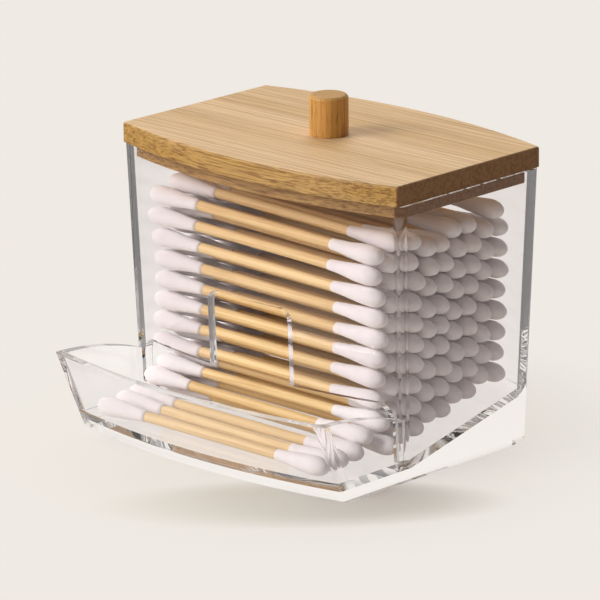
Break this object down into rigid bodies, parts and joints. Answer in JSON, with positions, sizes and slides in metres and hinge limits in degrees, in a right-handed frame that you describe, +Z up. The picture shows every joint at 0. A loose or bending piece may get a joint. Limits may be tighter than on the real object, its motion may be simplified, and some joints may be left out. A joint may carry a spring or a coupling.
{
  "type": "cotton swab holder",
  "caption": "Clear bow-fronted box with a bamboo lid and knob, filled with cotton swabs that roll down a ramp through a slot into an open tray.",
  "frame": {"origin": "on the surface the box stands on, at the middle of the whole part's footprint box", "axes": "+X along the swabs, to the right as the tray is faced; -Y out of the box towards the tray's lip; +Z up"},
  "size_m": [0.0908, 0.0858, 0.082],
  "materials": {
    "clear_plastic": "polished, clear",
    "bamboo": "sanded, satin, fine fibre along the width",
    "stick_wood": "bare, smooth",
    "cotton": "wound cotton, matt"
  },
  "bodies": {
    "box": {"clear_box": "clear_plastic", "layer_01_cotton": "cotton", "layer_01_sticks": "stick_wood", "layer_02_cotton": "cotton", "layer_02_sticks": "stick_wood", "layer_03_cotton": "cotton", "layer_03_sticks": "stick_wood", "layer_04_cotton": "cotton", "layer_04_sticks": "stick_wood", "layer_05_cotton": "cotton", "layer_05_sticks": "stick_wood", "layer_06_cotton": "cotton", "layer_06_sticks": "stick_wood", "layer_07_cotton": "cotton", "layer_07_sticks": "stick_wood", "layer_08_cotton": "cotton", "layer_08_sticks": "stick_wood", "layer_09_cotton": "cotton", "layer_09_sticks": "stick_wood", "layer_10_cotton": "cotton", "layer_10_sticks": "stick_wood", "tray_cotton": "cotton", "tray_sticks": "stick_wood"},
    "lid": {"lid": "bamboo", "knob": "bamboo"}
  },
  "joints": [
    {"name": "lid_lift", "type": "slide", "parent": "box", "child": "lid", "axis": [0, 0, 1], "range_m": [0, 0.03]}
  ]
}
